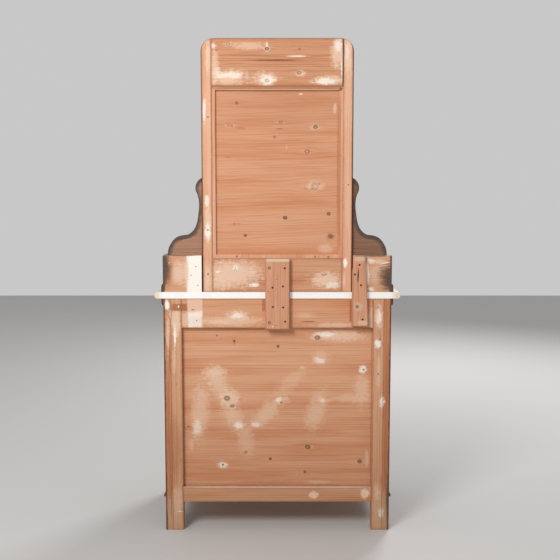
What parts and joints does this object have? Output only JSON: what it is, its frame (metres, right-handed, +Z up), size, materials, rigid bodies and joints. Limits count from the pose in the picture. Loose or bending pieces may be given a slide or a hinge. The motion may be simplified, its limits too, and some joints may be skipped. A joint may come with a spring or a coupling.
{
  "type": "washstand with mirror",
  "caption": "Free-standing washstand with marble top, frieze drawer, cupboard with hinged doors, tall fixed mirror, drawer boxes with scroll brackets, and a plain boarded back.",
  "frame": {"origin": "on the floor under the middle of the bounding box", "axes": "+Z up, front faces -Y, back with its battens at +Y, +X to the right seen from the front"},
  "size_m": [0.838, 0.502, 1.689],
  "materials": {
    "pine": "bare softwood, sanded, unfinished",
    "pine_panel": "bare softwood panel, orange with age",
    "walnut": "French-polished walnut veneer, satin",
    "stained_board": "dark stained board, dry and dusty at the back",
    "marble": "honed white marble with grey veins",
    "silvered_glass": "bevel-free silvered plate glass",
    "brass": "aged brass",
    "steel": "darkened iron"
  },
  "bodies": {
    "cabinet": {"front_post_left": "walnut", "front_post_right": "walnut", "rear_post_left": "pine", "rear_post_right": "pine", "side_stiles": "walnut", "side_rails": "walnut", "side_panels": "walnut", "front_rails": "walnut", "back_top_rail": "pine", "back_bottom_rail": "pine", "back_panel": "pine_panel", "bottom_board": "pine", "shelf": "pine", "shelf_cleats": "pine", "drawer_runners": "pine", "cornice_mouldings": "walnut", "base_mouldings": "walnut", "marble_top": "marble", "box_floors": "pine", "box_sides": "walnut", "box_backs": "pine", "box_tops": "walnut", "plinth_mouldings": "walnut", "mirror_stiles": "walnut", "mirror_top_rail": "walnut", "mirror_bottom_rail": "walnut", "mirror_glass": "silvered_glass", "back_stile_left": "pine", "back_stile_right": "pine", "mirror_back_rail": "pine", "mirror_back_panel": "pine_panel", "mirror_back_board": "pine", "mirror_beads": "pine", "bracket_left": "stained_board", "bracket_right": "stained_board", "batten_middle": "pine", "batten_left": "pine", "batten_screws": "steel", "post_hinge_leaves": "brass"},
    "frieze_drawer": {"drawer_front": "walnut", "drawer_sides": "pine", "drawer_back": "pine", "drawer_bottom": "pine", "drawer_knobs": "walnut"},
    "left_door": {"door_left_frame": "walnut", "door_left_panel": "walnut", "door_left_hinge_leaves": "brass"},
    "right_door": {"door_right_frame": "walnut", "door_right_panel": "walnut", "door_right_hinge_leaves": "brass", "door_lock": "brass"},
    "flush_bolt": {"door_left_bolt": "steel"},
    "key": {"lock_key": "steel"},
    "lock_bolt": {"lock_bolt": "steel"},
    "left_box_drawer": {"small_drawer_left_front": "walnut", "small_drawer_left_tray": "pine", "small_drawer_left_knob": "walnut"},
    "right_box_drawer": {"small_drawer_right_front": "walnut", "small_drawer_right_tray": "pine", "small_drawer_right_knob": "walnut"}
  },
  "joints": [
    {"name": "frieze_drawer_slide", "type": "slide", "parent": "cabinet", "child": "frieze_drawer", "axis": [0, -1, 0], "range_m": [0, 0.3]},
    {"name": "left_door_hinge", "type": "hinge", "parent": "cabinet", "child": "left_door", "pos_m": [-0.33925, -0.2209, 0.4185], "axis": [0, 0, -1], "range_deg": [0, 110]},
    {"name": "right_door_hinge", "type": "hinge", "parent": "cabinet", "child": "right_door", "pos_m": [0.33925, -0.2209, 0.4185], "axis": [0, 0, 1], "range_deg": [0, 110]},
    {"name": "flush_bolt_slide", "type": "slide", "parent": "left_door", "child": "flush_bolt", "axis": [0, 0, 1], "range_m": [0, 0.01]},
    {"name": "key_turn", "type": "hinge", "parent": "right_door", "child": "key", "pos_m": [0.024, -0.217, 0.447], "axis": [0, 1, 0], "range_deg": [0, 90]},
    {"name": "lock_bolt_slide", "type": "slide", "parent": "right_door", "child": "lock_bolt", "axis": [-1, 0, 0], "range_m": [0, 0.008]},
    {"name": "left_box_drawer_slide", "type": "slide", "parent": "cabinet", "child": "left_box_drawer", "axis": [0, -1, 0], "range_m": [0, 0.14]},
    {"name": "right_box_drawer_slide", "type": "slide", "parent": "cabinet", "child": "right_box_drawer", "axis": [0, -1, 0], "range_m": [0, 0.14]}
  ],
  "couplings": [
    {"joint": "lock_bolt_slide", "follows": "key_turn", "m_per_rad": 0.00509}
  ]
}
